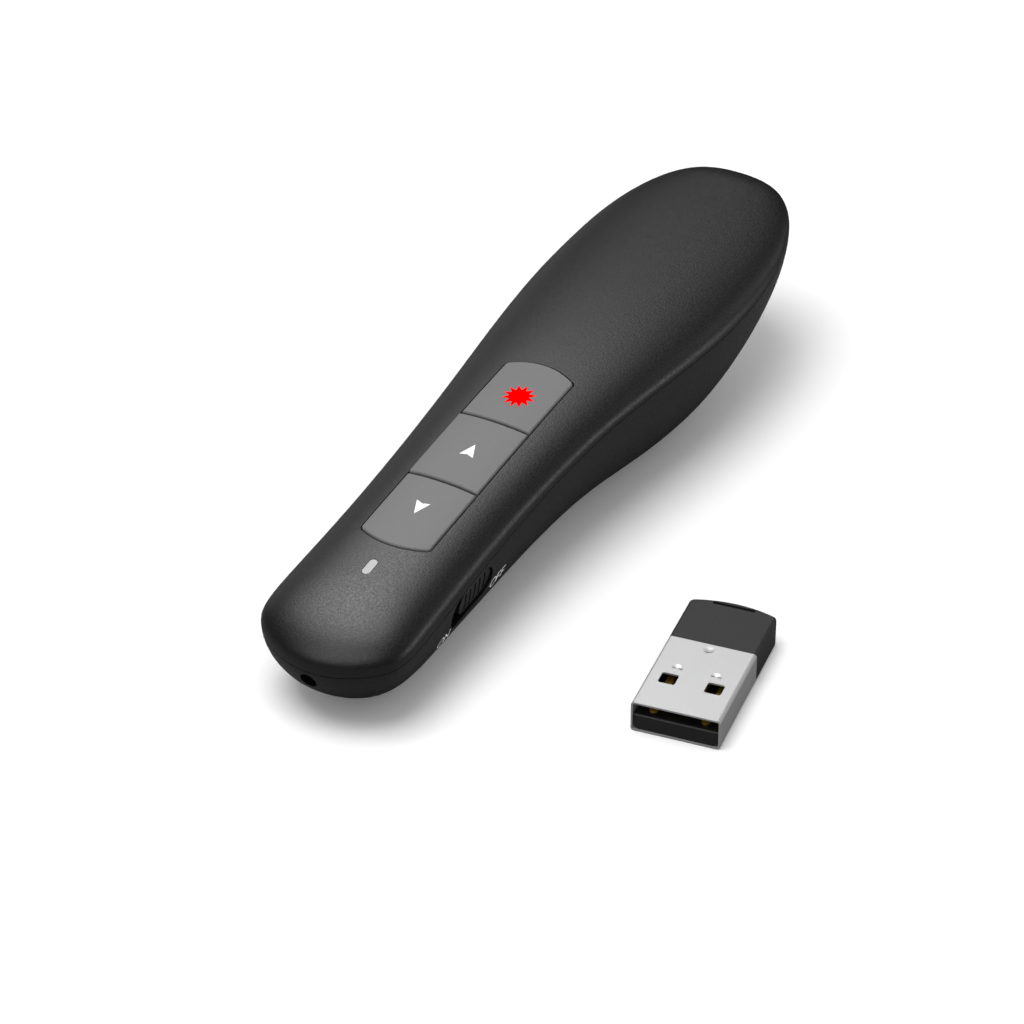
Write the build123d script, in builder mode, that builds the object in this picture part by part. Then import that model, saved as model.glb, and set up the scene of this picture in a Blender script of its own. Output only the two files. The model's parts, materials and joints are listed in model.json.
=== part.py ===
from build123d import *

import os
from math import atan2, cos, radians, sin, tan

import numpy as np

# A wireless presentation clicker lying on a table, with its USB receiver beside it.
# Millimetres. +Z is up from the table, +X runs from the nose to the tail, the power switch is on -Y.
# The origin is the middle of the flat on the belly. Places along the handset are given as
# distances behind the nose tip.

# ---------------------------------------------------------------- handset casing
LENGTH = 116.6
BELLY_FLAT_PLACE = 75.0  # distance from the nose tip to the origin
# sizes at the nose, a quarter, the middle, three quarters and the tail
HALF_WIDTHS = (11.42, 10.68, 12.35, 15.35, 12.53)
TOP_HEIGHTS = (13.88, 17.96, 21.32, 23.0, 23.98)
UNDERSIDE_HEIGHTS = (0.09, -0.26, 0.66, -0.16, 19.4)
# height of the widest line, as a share of the section, at the nose, the middle and the tail
WIDEST_SHARES = (0.73, 0.815, 0.765)
PARTING_SHARES = (0.67, 0.81, 0.765)  # the same for the line where the two shells meet
TOP_FULLNESS = 0.6  # Bezier handle of the upper quarters
ELLIPSE_FULLNESS = 0.5523  # the lower quarters are ellipses
NOSE_TIP_RADIUS, NOSE_CORNER_POWER = 11.6, 7.4  # seen from above, a higher power makes tighter corners
TAIL_PLAN_LENGTH, TAIL_PLAN_POWER = 22.7, 2.85
NOSE_TOP_LENGTH, NOSE_TOP_POWER = 15.0, 2.4
NOSE_UNDERSIDE_LENGTH, NOSE_UNDERSIDE_POWER = 15.6, 2.05
TAIL_SIDE_LENGTH, TAIL_SIDE_POWER = 4.0, 2.7
WALL = 1.6
PARTING_GAP = 0.1
RIB = 1.2
FIT = 0.15  # clearance round pieces that slide or drop in
INSIDE_GAP = 0.15  # clearance between inner pieces and the casing

# ---------------------------------------------------------------- keys
PANEL_PLACE = 40.2
PANEL_LENGTH = 40.8
PANEL_WIDTH = 10.8
PANEL_END_RISE = 1.6  # height of the arc at each end
PANEL_CORNER = 0.9
KEY_PITCH = 13.5
KEY_GAP = 0.2
KEY_SPLIT = 0.3  # gap between neighbouring keys
KEY_PROUD = 0.25
KEY_THICKNESS = 1.5
KEY_EDGE = 0.35
KEY_TRAVEL = 0.35
KEY_TAB_LENGTH, KEY_TAB_REACH, KEY_TAB_THICKNESS = 6.0, 0.9, 0.5
KEY_SKIRT = 0.6  # wall that carries a key's tabs
KEY_TAB_DEPTH = 0.9  # top of the tabs below the key
TAB_ROOT = 0.2  # how far a tab runs into its skirt
STEM_RADIUS = 1.5
TACT_SIDE, TACT_HEIGHT, TACT_CORNER = 4.6, 1.5, 0.4
PLUNGER_RADIUS, PLUNGER_HEIGHT, PLUNGER_DEPTH, PLUNGER_SPARE = 1.1, 0.6, 0.45, 0.1

# ---------------------------------------------------------------- circuit board
BOARD_DEPTH = 4.4  # top of the board below the key plane
BOARD_THICKNESS = 0.8
BOARD_FRONT, BOARD_BACK = 14.5, 58.0
BOARD_WIDTH = 16.0
BOARD_CORNER = 1.5
BOARD_SCREW_SPACING = 14.6
BOARD_SCREW_RADIUS = 0.75
BOARD_SCREW_HEAD_RADIUS, BOARD_SCREW_HEAD = 1.2, 0.8
BOARD_BOSS_RADIUS, BOARD_BOSS_HEIGHT = 1.4, 3.2
BOARD_SCREW_DEPTH, BOARD_SCREW_SPARE = 2.2, 0.2  # the hole is deeper than the screw
BOARD_SCREW_SLOT = (1.4, 0.35, 0.4)  # length, width, depth
SCREW_CLEARANCE = 0.05

# ---------------------------------------------------------------- status light
LIGHT_PLACE = 15.5
LIGHT_LENGTH, LIGHT_WIDTH = 2.8, 1.15
LIGHT_FLANGE, LIGHT_FLANGE_THICKNESS = 0.6, 0.5
LIGHT_FLANGE_CLEARANCE = 0.45
LED_CLEARANCE = 0.3
LED_LENGTH, LED_WIDTH, LED_HEIGHT = 1.6, 0.8, 0.6

# ---------------------------------------------------------------- laser
LASER_HEIGHT = 7.6
APERTURE_RADIUS = 1.2
APERTURE_TUBE_WALL, APERTURE_TUBE_FRONT = 1.0, 2.5
BARREL_FRONT, BARREL_LENGTH, BARREL_RADIUS = 6.0, 12.0, 3.0
BARREL_BORE_RADIUS = 2.2
BARREL_STEP = 0.2  # the front ring is this much smaller
LENS_RADIUS, LENS_THICKNESS, LENS_PLACE, LENS_ROUNDING = 2.15, 1.4, 1.0, 0.5
DIODE_RADIUS, DIODE_LENGTH = 2.15, 2.4
DIODE_CAN_RADIUS, DIODE_CAN_LENGTH = 1.55, 1.2
TUBE_GAP = 0.1  # between the aperture tube and the barrel
SADDLE_PLACES = (9.0, 15.0)

# ---------------------------------------------------------------- power switch
SWITCH_PLACE, SWITCH_HEIGHT = 23.6, 9.9  # the slot runs parallel to the keys
SWITCH_SLOT_LENGTH, SWITCH_SLOT_WIDTH = 10.6, 4.8
KNOB_LENGTH = 7.9
KNOB_RECESS = 0.3
KNOB_TRAVEL = 2.3
KNOB_FLANGE_OUTER, KNOB_FLANGE_THICKNESS = 6.9, 0.8  # distance of its outer face from the middle
KNOB_FLANGE_OVERLAP, KNOB_FLANGE_CORNER = 0.7, 0.8
KNOB_GROOVES, KNOB_GROOVE_PITCH, KNOB_GROOVE_WIDTH, KNOB_GROOVE_DEPTH = 5, 1.19, 0.4, 0.4
KNOB_GROOVE_LENGTH = 2.9
SLIDER_LENGTH, SLIDER_WIDTH, SLIDER_HEIGHT = 8.6, 3.4, 2.2
SLIDER_EDGE = 5.4  # distance of its outer side from the middle
LEVER_LENGTH, LEVER_WIDTH, LEVER_REACH = 1.6, 1.0, 1.2
LEVER_GAP = 0.02  # between the lever and the knob's flange
BOARD_NOTCH = 2.4  # how far the board's edge is cut back beside the power switch
BOARD_NOTCH_SPARE = 0.5

# ---------------------------------------------------------------- battery
CELL_RADIUS, CELL_LENGTH = 5.25, 44.5
CELL_NUB_RADIUS, CELL_NUB_LENGTH, CELL_EDGE = 1.9, 1.0, 0.4
CELL_FRONT, CELL_HEIGHT = 41.5, 8.4
SPRING_SPACE = 4.0
CONTACT_THICKNESS = 0.4
CONTACT_WIDTH, CONTACT_HEIGHT, CONTACT_CORNER = 7.0, 7.0, 0.8
CONTACT_GAP = 0.05
SPRING_WIRE, SPRING_RADIUS, SPRING_TURNS = 0.3, 3.0, 3.5
CRADLE_WALL, CRADLE_CLEARANCE = 1.2, 0.25
CRADLE_BOTTOM, CRADLE_TOP = 6.2, 12.4
CRADLE_END_BOTTOM = 4.5
CRADLE_WING_REACH, CRADLE_WING_THICKNESS = 9.0, 1.2

# ---------------------------------------------------------------- battery door
DOOR_FRONT, DOOR_BACK = 38.5, LENGTH - 28.1
DOOR_WIDTH = 14.0
DOOR_WALL = 1.3
DOOR_TRAVEL = 8.0
TONGUE_LENGTH, TONGUE_WIDTH, TONGUE_THICKNESS, TONGUE_ROOT = 1.6, 6.0, 0.8, 2.5
DOOR_GROOVES, DOOR_GROOVE_PITCH, DOOR_GROOVE_LENGTH, DOOR_GROOVE_DEPTH = 5, 1.6, 8.0, 0.4
DOOR_GROOVE_WIDTH = 0.7
DOOR_GROOVE_PLACE = 46.0
OPENING_HEIGHT = 8.0
THUMB_NOTCH_LENGTH, THUMB_NOTCH_HEIGHT, THUMB_NOTCH_CEILING = 4.2, 4.5, 1.2
ROOF_OVERHANG = 0.6  # the notch's ceiling reaches this far over the door

# ---------------------------------------------------------------- case screw
CASE_SCREW_PLACE = LENGTH - 17.6
CASE_SCREW_RADIUS, CASE_SCREW_LENGTH = 0.95, 7.0
CASE_SCREW_HEAD_RADIUS, CASE_SCREW_HEAD = 1.75, 1.3
CASE_SCREW_SLOT = (2.2, 0.5, 0.8)  # length, width, depth
CASE_SCREW_SEAT, CASE_BOSS_MEETING = 10.2, 13.0  # heights above the table
CASE_BOSS_RADIUS = 3.0
CASE_HOLE_SPARE = 1.0  # the hole is this much deeper than the screw

# ---------------------------------------------------------------- components on the board
# place along the handset, distance to the left of the middle, length, width, thickness
CONTROL_CHIP = (30.0, 2.0, 5.0, 5.0, 0.9)
RADIO_CHIP = (22.0, 3.6, 4.0, 4.0, 0.9)
CRYSTAL = (31.5, -3.6, 3.2, 2.5, 0.8)
ANTENNA = (18.8, 5.6, 3.2, 1.6, 1.1)

# ---------------------------------------------------------------- receiver
RECEIVER_X, RECEIVER_Y, RECEIVER_TURN = -53.01, -41.33, 9.8  # front of the plug, degrees about Z
PLUG_LENGTH, PLUG_WIDTH, PLUG_HEIGHT, PLUG_SHEET = 15.0, 12.0, 4.5, 0.25
PLUG_CORNER = 0.5
PLUG_FIT = 0.03
WINDOW_PLACE, WINDOW_SPACING, WINDOW_LENGTH, WINDOW_WIDTH, WINDOW_CORNER = 6.25, 6.2, 2.2, 2.3, 0.35
TONGUE_BODY_WIDTH, TONGUE_BODY_FRONT, TONGUE_BODY_LENGTH = 11.2, 0.15, 12.3
TONGUE_BODY_ROUNDING, TONGUE_BODY_GAP = 0.35, 0.02
CAVITY_HEIGHT = 1.75
PIN_PLACES, PIN_LENGTHS = (-3.5, -1.0, 1.0, 3.5), (9.6, 8.1, 8.1, 9.6)
PIN_BACK, PIN_WIDTH, PIN_THICKNESS = 10.8, 1.1, 0.2
HOUSING_LENGTH, HOUSING_END_RISE, HOUSING_END_CORNER = 9.85, 1.1, 0.8
HOUSING_WALL, SPIGOT_LENGTH = 0.8, 2.2  # the spigot holds the housing in the plug's shell
GRIP_SLOT_LENGTH, GRIP_SLOT_WIDTH, GRIP_SLOT_DEPTH, GRIP_SLOT_PLACE = 5.9, 0.5, 0.4, 1.0
RECEIVER_BOARD_WIDTH, RECEIVER_BOARD_THICKNESS, RECEIVER_BOARD_GAP = 9.8, 0.8, 0.1
# distance behind the front of the plug, distance to the left of the middle, length, width, thickness
RECEIVER_CHIP = (17.6, -1.6, 4.0, 4.0, 0.8)
RECEIVER_CRYSTAL = (17.2, 3.2, 3.2, 2.0, 0.7)

NOSE_X = -BELLY_FLAT_PLACE
END_STATIONS = (0.06, 0.25, 0.7, 1.5, 2.6, 3.8, 5.0, 6.4, 8.2, 11.0, 15.0)
MIDDLE_STATIONS = np.linspace(21, LENGTH - 21, 11)
STATIONS = (*END_STATIONS, *MIDDLE_STATIONS, *(LENGTH - s for s in reversed(END_STATIONS)))
FAR = 100.0  # beyond the object in any direction


def smooth(values, place):
    """The natural cubic spline through evenly spaced values, at a distance behind the nose tip."""
    spans = len(values) - 1
    inner = spans - 1
    matrix = 4 * np.eye(inner) + np.eye(inner, k=1) + np.eye(inner, k=-1)
    bend = [0, *np.linalg.solve(matrix, 6 * np.diff(values, 2)), 0]
    share = min(max(place / LENGTH, 0), 1) * spans
    k = min(int(share), spans - 1)
    t = share - k
    u = 1 - t
    return u * values[k] + t * values[k + 1] + ((u**3 - u) * bend[k] + (t**3 - t) * bend[k + 1]) / 6


def rounding(distance, length, power):
    """How far a superellipse end has opened at a distance from its tip, from 0 to 1."""
    return (1 - (1 - min(distance / length, 1)) ** power) ** (1 / power)


def line_height(shares, place):
    """Height above the table of a line that runs round the handset at shares of its section."""
    low, high = smooth(UNDERSIDE_HEIGHTS, place), smooth(TOP_HEIGHTS, place)
    return low + (high - low) * smooth(shares, place)


def widest_height(place):
    return line_height(WIDEST_SHARES, place)


def half_width(place):
    side = smooth(HALF_WIDTHS, place)
    nose = (1 + (side**2 / (2 * NOSE_TIP_RADIUS * place)) ** (NOSE_CORNER_POWER / 2)) ** (-1 / NOSE_CORNER_POWER)
    return side * nose * rounding(LENGTH - place, TAIL_PLAN_LENGTH, TAIL_PLAN_POWER)


def rise(place):
    """From the widest line up to the top."""
    nose = rounding(place, NOSE_TOP_LENGTH, NOSE_TOP_POWER)
    tail = rounding(LENGTH - place, TAIL_SIDE_LENGTH, TAIL_SIDE_POWER)
    return (smooth(TOP_HEIGHTS, place) - widest_height(place)) * nose * tail


def drop(place, floor=-FAR):
    """From the widest line down to the underside, which a floor can hold up."""
    nose = rounding(place, NOSE_UNDERSIDE_LENGTH, NOSE_UNDERSIDE_POWER)
    tail = rounding(LENGTH - place, TAIL_SIDE_LENGTH, TAIL_SIDE_POWER)
    return (widest_height(place) - max(smooth(UNDERSIDE_HEIGHTS, place), floor)) * nose * tail


def top_height(place):
    return widest_height(place) + rise(place)


def bottom_height(place):
    return widest_height(place) - drop(place)


def cross_plane(place):
    """Across the handset: its x is +Y and its y is +Z."""
    return Plane(origin=(NOSE_X + place, 0, 0), x_dir=(0, 1, 0), z_dir=(1, 0, 0))


def section(place, inset):
    """The handset's cross section, smaller by inset, from four Bezier quarters."""
    middle = widest_height(place)
    wide = half_width(place) - inset
    up = rise(place) - inset
    down = drop(place, floor=0 if inset > 0 else -FAR) - inset
    with BuildSketch(cross_plane(place)) as outline:
        with BuildLine():
            for side in (1, -1):
                for height, full in ((up, TOP_FULLNESS), (-down, ELLIPSE_FULLNESS)):
                    Bezier(
                        (side * wide, middle),
                        (side * wide, middle + height * full),
                        (side * wide * full, middle + height),
                        (0, middle + height),
                    )
        make_face()
    return outline.sketch


def handset_solid(inset):
    """The whole handset as one solid, with its skin moved in by inset."""
    room = [min(half_width(s), rise(s), drop(s)) - inset for s in STATIONS]
    with BuildPart() as solid:
        for place, left in zip(STATIONS, room):
            if left > 0.05 + 0.3 * (inset > 0):
                add(section(place, inset))
        loft()
        with BuildSketch(Plane.XY):
            Rectangle(2 * FAR, 2 * FAR)
        extrude(amount=-FAR, mode=Mode.SUBTRACT)
    return solid.part


def above_parting(shift):
    """Everything above the parting line, moved up by shift."""
    places = np.linspace(0, LENGTH, 11)
    line = [(NOSE_X + s, line_height(PARTING_SHARES, s) + shift) for s in places]
    first, last = line[0], line[-1]
    with BuildPart() as half:
        with BuildSketch(Plane.XZ):
            with BuildLine():
                Spline(*line)
                Polyline(last, (last[0] + 5, last[1]), (last[0] + 5, FAR), (first[0] - 5, FAR),
                         (first[0] - 5, first[1]), first)
            make_face()
        extrude(amount=FAR, both=True)
    return half.part


def block(start, end, width, low, high, middle=0.0):
    """A box along the handset, from place start to place end."""
    with BuildPart() as box:
        with BuildSketch(Plane.XY.offset(low)):
            with Locations((NOSE_X + (start + end) / 2, middle)):
                Rectangle(end - start, width)
        extrude(amount=high - low)
    return box.part


def rod(plane, radius, length):
    """A round bar that starts on a plane and stands along its normal."""
    with BuildPart() as bar:
        with BuildSketch(plane):
            Circle(radius)
        extrude(amount=length)
    return bar.part


def cross_slot(plane, length, width, depth):
    """The cross for the screwdriver, cut from a screw's head."""
    with BuildPart() as cross:
        with BuildSketch(plane):
            Rectangle(length, width)
            Rectangle(width, length)
        extrude(amount=depth)
    return cross.part


def along_axis(place, height):
    """A plane across the handset, centred on a height, facing the tail."""
    return Plane(origin=(NOSE_X + place, 0, height), x_dir=(0, 1, 0), z_dir=(1, 0, 0))


def upright(place, side, height):
    return Plane(origin=(NOSE_X + place, side, height))


def finish(piece, name):
    piece.label = name
    export_step(piece, f"parts/{name}.step")


os.makedirs("parts", exist_ok=True)

outer = handset_solid(0)
inner = handset_solid(WALL)
inner_clear = handset_solid(WALL + INSIDE_GAP)

# The key plane lies along the top of the handset, from one end of the panel to the other.
panel_front, panel_back = PANEL_PLACE - PANEL_LENGTH / 2, PANEL_PLACE + PANEL_LENGTH / 2
key_slope = atan2(top_height(panel_back) - top_height(panel_front), PANEL_LENGTH)
key_plane_height = (top_height(panel_back) + top_height(panel_front)) / 2
key_plane = Plane(
    origin=(NOSE_X + PANEL_PLACE, 0, key_plane_height),
    x_dir=(cos(key_slope), 0, sin(key_slope)),
    z_dir=(-sin(key_slope), 0, cos(key_slope)),
)
board_top = key_plane.offset(-BOARD_DEPTH)


def on_board(place):
    """The board's own x coordinate below a place on the handset."""
    return (place - PANEL_PLACE) / cos(key_slope)


def board_height(place):
    """Height of the board's top face above the table at a place."""
    return key_plane_height + (place - PANEL_PLACE) * tan(key_slope) - BOARD_DEPTH / cos(key_slope)


def on_plane(plane, x, y, height=0.0):
    """The plane moved to a point of its own, height above it."""
    return Plane(origin=plane.from_local_coords((x, y, height)), x_dir=plane.x_dir, z_dir=plane.z_dir)


def panel_outline(gap):
    """The keys' shared outline, straight at the sides and bowed at the ends, smaller by gap."""
    half_length, half_panel = PANEL_LENGTH / 2 - gap, PANEL_WIDTH / 2 - gap
    straight = PANEL_LENGTH / 2 - PANEL_END_RISE - gap / 2
    with BuildSketch() as outline:
        with BuildLine():
            Line((-straight, -half_panel), (straight, -half_panel))
            ThreePointArc((straight, -half_panel), (half_length, 0), (straight, half_panel))
            Line((straight, half_panel), (-straight, half_panel))
            ThreePointArc((-straight, half_panel), (-half_length, 0), (-straight, -half_panel))
        make_face()
        fillet(outline.vertices(), PANEL_CORNER - gap)
    return outline.sketch


# ---------------------------------------------------------------- upper shell
screw_spots = [(x, side * BOARD_SCREW_SPACING / 2) for x in (-KEY_PITCH / 2, KEY_PITCH / 2) for side in (-1, 1)]
screw_planes = [on_plane(board_top, x, y) for x, y in screw_spots]
with BuildPart() as upper_bosses:
    for plane in screw_planes:
        add(rod(plane, BOARD_BOSS_RADIUS, BOARD_BOSS_HEIGHT))
    add(rod(upright(CASE_SCREW_PLACE, 0, CASE_BOSS_MEETING + PARTING_GAP), CASE_BOSS_RADIUS,
            top_height(CASE_SCREW_PLACE) - WALL / 2 - CASE_BOSS_MEETING - PARTING_GAP))

with BuildPart() as upper_room:
    add(inner)
    add(upper_bosses.part, mode=Mode.SUBTRACT)

with BuildPart() as upper_zone:
    add(above_parting(PARTING_GAP / 2))
    add(upper_bosses.part)

with BuildPart() as upper_shell:
    add(outer)
    with BuildSketch(upright(LIGHT_PLACE, 0, board_height(LIGHT_PLACE))):
        SlotOverall(LIGHT_LENGTH + FIT, LIGHT_WIDTH + FIT)
    extrude(amount=2 * BOARD_DEPTH, mode=Mode.SUBTRACT)
    with BuildSketch(board_top):
        add(panel_outline(0))
    extrude(amount=2 * BOARD_DEPTH, mode=Mode.SUBTRACT)
    add(upper_room.part, mode=Mode.SUBTRACT)
    add(upper_zone.part, mode=Mode.INTERSECT)
    for plane in screw_planes:
        add(rod(plane, BOARD_SCREW_RADIUS + SCREW_CLEARANCE, BOARD_SCREW_DEPTH), mode=Mode.SUBTRACT)
    add(rod(upright(CASE_SCREW_PLACE, 0, CASE_SCREW_SEAT), CASE_SCREW_RADIUS + SCREW_CLEARANCE,
            CASE_SCREW_LENGTH + CASE_HOLE_SPARE), mode=Mode.SUBTRACT)
finish(upper_shell.part, "upper_shell")

# ---------------------------------------------------------------- lower shell
switch_axis = Plane(
    origin=(NOSE_X + SWITCH_PLACE, 0, SWITCH_HEIGHT),
    x_dir=(cos(key_slope), 0, sin(key_slope)),
    z_dir=(0, -1, 0),
)
notch_back = DOOR_BACK + THUMB_NOTCH_LENGTH
opening_width = DOOR_WIDTH + 2 * FIT
over_door = handset_solid(DOOR_WALL + FIT)

with BuildPart() as saddles:
    for place in SADDLE_PLACES:
        add(block(place, place + RIB, 2 * (BARREL_RADIUS + RIB), 0, LASER_HEIGHT))
    add(rod(along_axis(BARREL_FRONT, LASER_HEIGHT), BARREL_RADIUS + SCREW_CLEARANCE, BARREL_LENGTH),
        mode=Mode.SUBTRACT)
    add(outer, mode=Mode.INTERSECT)

with BuildPart() as notch_roof:
    add(block(DOOR_BACK - ROOF_OVERHANG, notch_back + WALL, opening_width + 2 * RIB, THUMB_NOTCH_HEIGHT,
              THUMB_NOTCH_HEIGHT + THUMB_NOTCH_CEILING))
    add(rod(upright(CASE_SCREW_PLACE, 0, 0), CASE_BOSS_RADIUS, CASE_BOSS_MEETING))
    add(block(DOOR_BACK - ROOF_OVERHANG, DOOR_BACK, DOOR_WIDTH, 0, THUMB_NOTCH_HEIGHT))
    add(over_door, mode=Mode.INTERSECT)

with BuildPart() as lower_shell:
    add(outer)
    # slot of the power switch
    with BuildSketch(switch_axis):
        SlotOverall(SWITCH_SLOT_LENGTH, SWITCH_SLOT_WIDTH)
    extrude(amount=FAR, mode=Mode.SUBTRACT)
    # battery opening and the thumb notch behind it
    add(block(DOOR_FRONT - FIT, DOOR_BACK + FIT, opening_width, -1, OPENING_HEIGHT), mode=Mode.SUBTRACT)
    add(block(DOOR_BACK, notch_back, opening_width, -1, THUMB_NOTCH_HEIGHT), mode=Mode.SUBTRACT)
    add(inner, mode=Mode.SUBTRACT)
    add(rod(along_axis(APERTURE_TUBE_FRONT, LASER_HEIGHT), APERTURE_RADIUS + APERTURE_TUBE_WALL,
            BARREL_FRONT - APERTURE_TUBE_FRONT - TUBE_GAP))
    add(saddles.part)
    add(notch_roof.part)
    add(above_parting(-PARTING_GAP / 2), mode=Mode.SUBTRACT)
    add(rod(along_axis(-1, LASER_HEIGHT), APERTURE_RADIUS, BARREL_FRONT + 1), mode=Mode.SUBTRACT)
    add(rod(upright(CASE_SCREW_PLACE, 0, 0), CASE_SCREW_HEAD_RADIUS + FIT, CASE_SCREW_SEAT), mode=Mode.SUBTRACT)
    add(rod(upright(CASE_SCREW_PLACE, 0, 0), CASE_SCREW_RADIUS + FIT, CASE_BOSS_MEETING + 1), mode=Mode.SUBTRACT)
finish(lower_shell.part, "lower_shell")

# ---------------------------------------------------------------- keys with their switches
key_skin = handset_solid(-KEY_PROUD)
under_key = BOARD_DEPTH - KEY_THICKNESS
plunger_top = TACT_HEIGHT + PLUNGER_HEIGHT
tab_top = under_key - KEY_TAB_DEPTH
key_half = PANEL_WIDTH / 2 - KEY_GAP
for name, step in (("back", -1), ("forward", 0), ("laser", 1)):
    centre = step * KEY_PITCH
    with BuildPart() as button:
        with BuildSketch(on_plane(board_top, 0, 0, under_key)):
            add(panel_outline(KEY_GAP))
            with Locations((step * (KEY_PITCH + PANEL_LENGTH / 2), 0) if step else (0, 0)):
                Rectangle(PANEL_LENGTH + KEY_PITCH - KEY_SPLIT if step else KEY_PITCH - KEY_SPLIT,
                          PANEL_WIDTH, mode=Mode.INTERSECT)
        extrude(amount=2 * BOARD_DEPTH)
        add(key_skin, mode=Mode.INTERSECT)
        fillet(button.faces().sort_by(Axis.Z)[-1].edges(), KEY_EDGE)
        for side in (-1, 1):
            skirt_middle = side * (key_half - KEY_SKIRT / 2)
            with BuildSketch(on_plane(board_top, centre, skirt_middle, tab_top - KEY_TAB_THICKNESS)):
                Rectangle(KEY_TAB_LENGTH, KEY_SKIRT)
            extrude(amount=under_key - tab_top + KEY_TAB_THICKNESS)
            tab_middle = side * (key_half + KEY_TAB_REACH / 2 - TAB_ROOT / 2)
            with BuildSketch(on_plane(board_top, centre, tab_middle, tab_top - KEY_TAB_THICKNESS)):
                Rectangle(KEY_TAB_LENGTH, KEY_TAB_REACH + TAB_ROOT)
            extrude(amount=KEY_TAB_THICKNESS)
        with BuildSketch(on_plane(board_top, centre, 0, plunger_top)):
            Circle(STEM_RADIUS)
        extrude(amount=under_key - plunger_top)
    finish(button.part, f"{name}_button")

    with BuildPart() as tact:
        with BuildSketch(on_plane(board_top, centre, 0)):
            RectangleRounded(TACT_SIDE, TACT_SIDE, TACT_CORNER)
        extrude(amount=TACT_HEIGHT)
        with BuildSketch(on_plane(board_top, centre, 0, TACT_HEIGHT)):
            Circle(PLUNGER_RADIUS + SCREW_CLEARANCE)
        extrude(amount=-PLUNGER_DEPTH - KEY_TRAVEL - PLUNGER_SPARE, mode=Mode.SUBTRACT)
    finish(tact.part, f"{name}_key_switch")

    with BuildPart() as plunger:
        with BuildSketch(on_plane(board_top, centre, 0, TACT_HEIGHT - PLUNGER_DEPTH)):
            Circle(PLUNGER_RADIUS)
        extrude(amount=PLUNGER_DEPTH + PLUNGER_HEIGHT)
    finish(plunger.part, f"{name}_plunger")

# ---------------------------------------------------------------- circuit board and what it carries
board_middle = (on_board(BOARD_FRONT) + on_board(BOARD_BACK)) / 2
board_length = on_board(BOARD_BACK) - on_board(BOARD_FRONT)
knob_shift = (SWITCH_SLOT_LENGTH - KNOB_LENGTH) / 2 - FIT  # the knob rests at the tail end of its slot
knob_rest = board_top.to_local_coords(switch_axis.origin).X + knob_shift
flange_length = SWITCH_SLOT_LENGTH + KNOB_TRAVEL + 2 * KNOB_FLANGE_OVERLAP
with BuildPart() as main_circuit_board:
    with BuildSketch(board_top):
        with Locations((board_middle, 0)):
            RectangleRounded(board_length, BOARD_WIDTH, BOARD_CORNER)
        with Locations((knob_rest - KNOB_TRAVEL / 2, -BOARD_WIDTH / 2)):
            Rectangle(flange_length + KNOB_TRAVEL + 2 * BOARD_NOTCH_SPARE, 2 * BOARD_NOTCH, mode=Mode.SUBTRACT)
        with Locations(*screw_spots):
            Circle(BOARD_SCREW_RADIUS + SCREW_CLEARANCE, mode=Mode.SUBTRACT)
    extrude(amount=-BOARD_THICKNESS)
finish(main_circuit_board.part, "main_circuit_board")

with BuildPart() as board_screws:
    for plane in screw_planes:
        under = plane.offset(-BOARD_THICKNESS)
        add(rod(under, BOARD_SCREW_RADIUS, BOARD_THICKNESS + BOARD_SCREW_DEPTH - BOARD_SCREW_SPARE))
        with BuildSketch(under):
            Circle(BOARD_SCREW_HEAD_RADIUS)
        extrude(amount=-BOARD_SCREW_HEAD)
        add(cross_slot(under.offset(-BOARD_SCREW_HEAD), *BOARD_SCREW_SLOT), mode=Mode.SUBTRACT)
finish(board_screws.part, "board_screws")


def on_board_chip(name, place, side, length, width, thickness, underneath=False):
    """A component that lies on the board, or under it."""
    level = -BOARD_THICKNESS if underneath else 0.0
    with BuildPart() as chip:
        with BuildSketch(on_plane(board_top, on_board(place), side, level)):
            Rectangle(length, width)
        extrude(amount=-thickness if underneath else thickness)
    finish(chip.part, name)


on_board_chip("control_chip", *CONTROL_CHIP, underneath=True)
on_board_chip("radio_chip", *RADIO_CHIP, underneath=True)
on_board_chip("crystal", *CRYSTAL, underneath=True)
on_board_chip("antenna", *ANTENNA)
on_board_chip("status_led", LIGHT_PLACE, 0, LED_LENGTH, LED_WIDTH, LED_HEIGHT)

pipe_bottom = board_height(LIGHT_PLACE + LIGHT_LENGTH / 2) + LED_HEIGHT + LED_CLEARANCE
flange_top = top_height(LIGHT_PLACE - LIGHT_LENGTH / 2) - WALL - LIGHT_FLANGE_CLEARANCE
with BuildPart() as status_light_pipe:
    with BuildSketch(upright(LIGHT_PLACE, 0, pipe_bottom)):
        SlotOverall(LIGHT_LENGTH, LIGHT_WIDTH)
    extrude(amount=FAR)
    add(outer, mode=Mode.INTERSECT)
    with BuildSketch(upright(LIGHT_PLACE, 0, flange_top - LIGHT_FLANGE_THICKNESS)):
        SlotOverall(LIGHT_LENGTH + 2 * LIGHT_FLANGE, LIGHT_WIDTH + 2 * LIGHT_FLANGE)
    extrude(amount=LIGHT_FLANGE_THICKNESS)
finish(status_light_pipe.part, "status_light_pipe")

# ---------------------------------------------------------------- laser
barrel_front = along_axis(BARREL_FRONT, LASER_HEIGHT)
with BuildPart() as laser_barrel:
    with BuildSketch(barrel_front):
        Circle(BARREL_RADIUS)
        Circle(BARREL_BORE_RADIUS, mode=Mode.SUBTRACT)
    extrude(amount=BARREL_LENGTH)
    with BuildSketch(barrel_front):
        Circle(BARREL_RADIUS - BARREL_STEP)
        Circle(APERTURE_RADIUS, mode=Mode.SUBTRACT)
    extrude(amount=LENS_PLACE)
finish(laser_barrel.part, "laser_barrel")

with BuildPart() as laser_lens:
    with BuildSketch(barrel_front.offset(LENS_PLACE)):
        Circle(LENS_RADIUS)
    extrude(amount=LENS_THICKNESS)
    fillet(laser_lens.edges().sort_by(Axis.X)[-1], LENS_ROUNDING)
finish(laser_lens.part, "laser_lens")

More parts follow.
